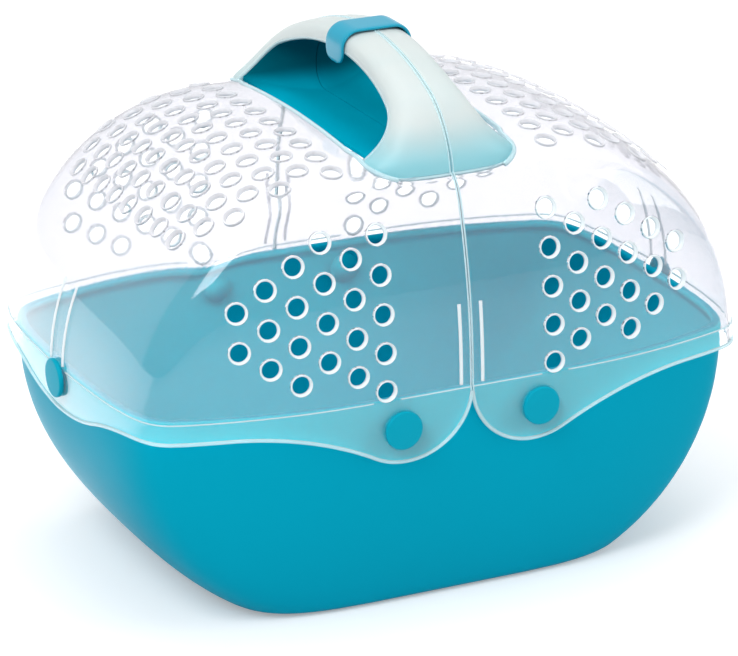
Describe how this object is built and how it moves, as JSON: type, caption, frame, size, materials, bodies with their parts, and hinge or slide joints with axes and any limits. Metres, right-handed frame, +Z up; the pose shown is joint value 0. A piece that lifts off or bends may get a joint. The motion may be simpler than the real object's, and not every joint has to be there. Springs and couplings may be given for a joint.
{
  "type": "small animal carrier",
  "caption": "Small-animal carrier: moulded tub, clear dome in two halves that swing open about side pins, and an arched carrying handle with a latch band.",
  "frame": {"origin": "on the base plane, under the middle of the tub", "axes": "+X along the long side to the right, +Y to the back, +Z up"},
  "size_m": [0.3688, 0.2504, 0.2889],
  "materials": {
    "teal_plastic": "satin moulded plastic",
    "clear_plastic": "clear moulded plastic",
    "teal_latch": "satin moulded plastic",
    "teal_pins": "satin moulded plastic"
  },
  "bodies": {
    "tub": {"tub": "teal_plastic", "front_left_pivot_pin": "teal_pins", "front_right_pivot_pin": "teal_pins", "back_left_pivot_pin": "teal_pins", "back_right_pivot_pin": "teal_pins"},
    "left_half": {"left_dome": "clear_plastic", "left_handle_liner": "teal_plastic", "left_end_button": "teal_pins"},
    "right_half": {"right_dome": "clear_plastic", "right_handle_liner": "teal_plastic", "right_end_button": "teal_pins"},
    "latch": {"handle_latch": "teal_latch"}
  },
  "joints": [
    {"name": "left_dome_hinge", "type": "hinge", "parent": "tub", "child": "left_half", "pos_m": [-0.04, 0, 0.1085], "axis": [0, -1, 0], "range_deg": [0, 46]},
    {"name": "right_dome_hinge", "type": "hinge", "parent": "tub", "child": "right_half", "pos_m": [0.04, 0, 0.1085], "axis": [0, 1, 0], "range_deg": [0, 46]},
    {"name": "latch_hinge", "type": "hinge", "parent": "right_half", "child": "latch", "pos_m": [0.0189, 0, 0.273], "axis": [0, 1, 0], "range_deg": [0, 110], "deforming": ["handle_latch"]}
  ]
}
